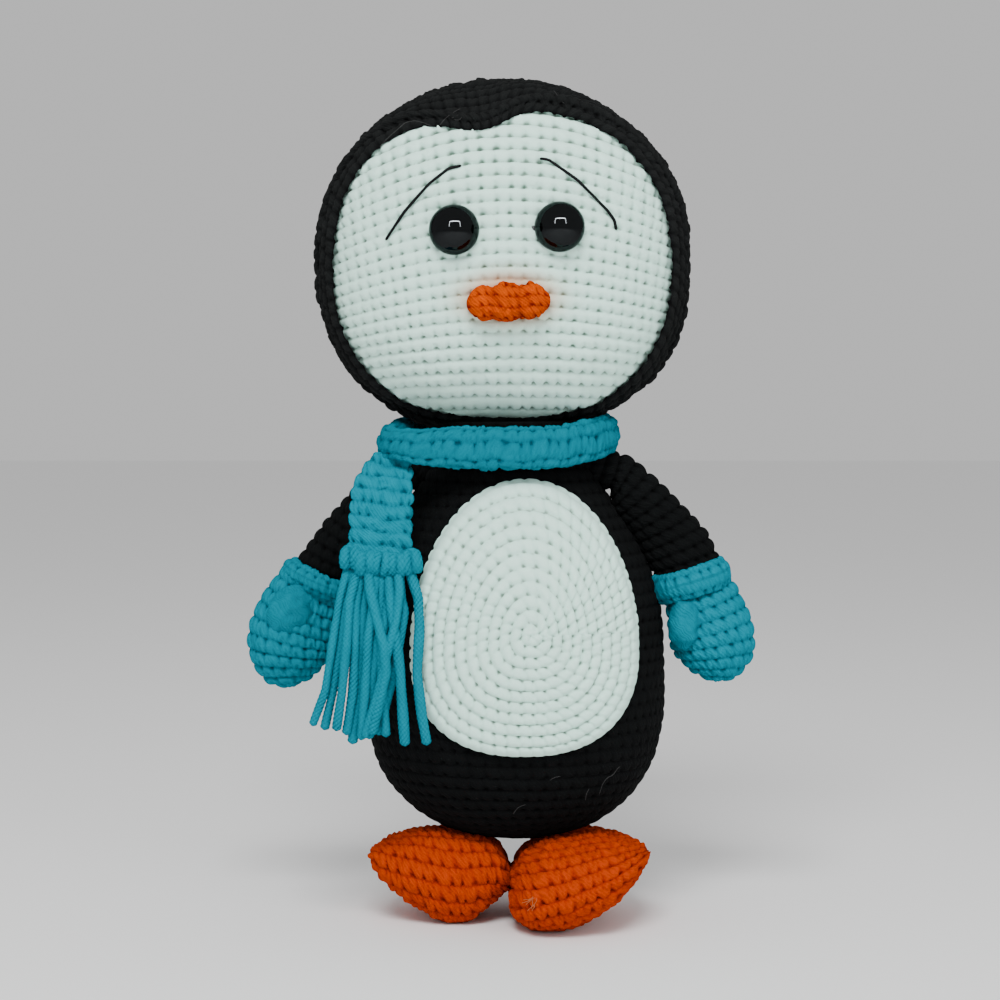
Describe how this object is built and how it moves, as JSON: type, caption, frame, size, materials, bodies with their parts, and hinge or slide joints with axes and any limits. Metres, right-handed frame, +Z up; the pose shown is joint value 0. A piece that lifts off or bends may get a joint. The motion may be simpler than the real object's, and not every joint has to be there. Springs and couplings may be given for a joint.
{
  "type": "plush penguin",
  "caption": "Standing crocheted plush penguin with a white face and belly, black hood, safety eyes, orange beak and feet, and a fringed scarf and mittens.",
  "frame": {"origin": "on the standing surface, below the middle of the overall box", "axes": "+Z up, the toy faces -Y, +X to the right as it is seen from the front"},
  "size_m": [0.1668, 0.0969, 0.2719],
  "materials": {
    "black_yarn": "matt crocheted cotton",
    "white_yarn": "matt crocheted cotton",
    "teal_yarn": "soft matt wool-look yarn",
    "orange_yarn": "matt crocheted cotton",
    "beak_yarn": "matt crocheted cotton",
    "fibre_fill": "loose polyester fibre",
    "eye_plastic": "polished",
    "washer_plastic": "moulded",
    "brow_thread": "twisted thread"
  },
  "bodies": {
    "body": {"body_skin": "black_yarn", "body_stuffing": "fibre_fill", "belly_patch": "white_yarn", "scarf_wrap": "teal_yarn", "left_foot_skin": "orange_yarn", "left_foot_stuffing": "fibre_fill", "right_foot_skin": "orange_yarn", "right_foot_stuffing": "fibre_fill"},
    "head": {"head_skin": "white_yarn", "head_stuffing": "fibre_fill", "hood": "black_yarn", "left_eye": "eye_plastic", "right_eye": "eye_plastic", "left_eye_washer": "washer_plastic", "right_eye_washer": "washer_plastic", "beak": "beak_yarn", "left_brow": "brow_thread", "right_brow": "brow_thread"},
    "scarf_tail": {"scarf_tail": "teal_yarn", "scarf_knots": "teal_yarn", "scarf_fringe": "teal_yarn"},
    "left_arm": {"left_sleeve": "black_yarn", "left_mitten": "teal_yarn", "left_cuff": "teal_yarn", "left_thumb": "teal_yarn", "left_arm_stuffing": "fibre_fill"},
    "right_arm": {"right_sleeve": "black_yarn", "right_mitten": "teal_yarn", "right_cuff": "teal_yarn", "right_thumb": "teal_yarn", "right_arm_stuffing": "fibre_fill"}
  },
  "joints": [
    {"name": "head_turn", "type": "hinge", "parent": "body", "child": "head", "pos_m": [0.001, 0.0016, 0.1582], "axis": [0, 0, 1], "range_deg": [-20, 20], "stiffness_Nm_per_rad": 0.05},
    {"name": "left_arm_lift", "type": "hinge", "parent": "body", "child": "left_arm", "pos_m": [-0.031, -0.0014, 0.147], "axis": [0, 1, 0], "range_deg": [0, 60]},
    {"name": "right_arm_lift", "type": "hinge", "parent": "body", "child": "right_arm", "pos_m": [0.0356, -0.0014, 0.146], "axis": [0, -1, 0], "range_deg": [0, 60]},
    {"name": "scarf_tail_swing", "type": "hinge", "parent": "body", "child": "scarf_tail", "pos_m": [-0.0353, -0.0284, 0.149], "axis": [-1, 0, 0], "range_deg": [0, 80]}
  ]
}
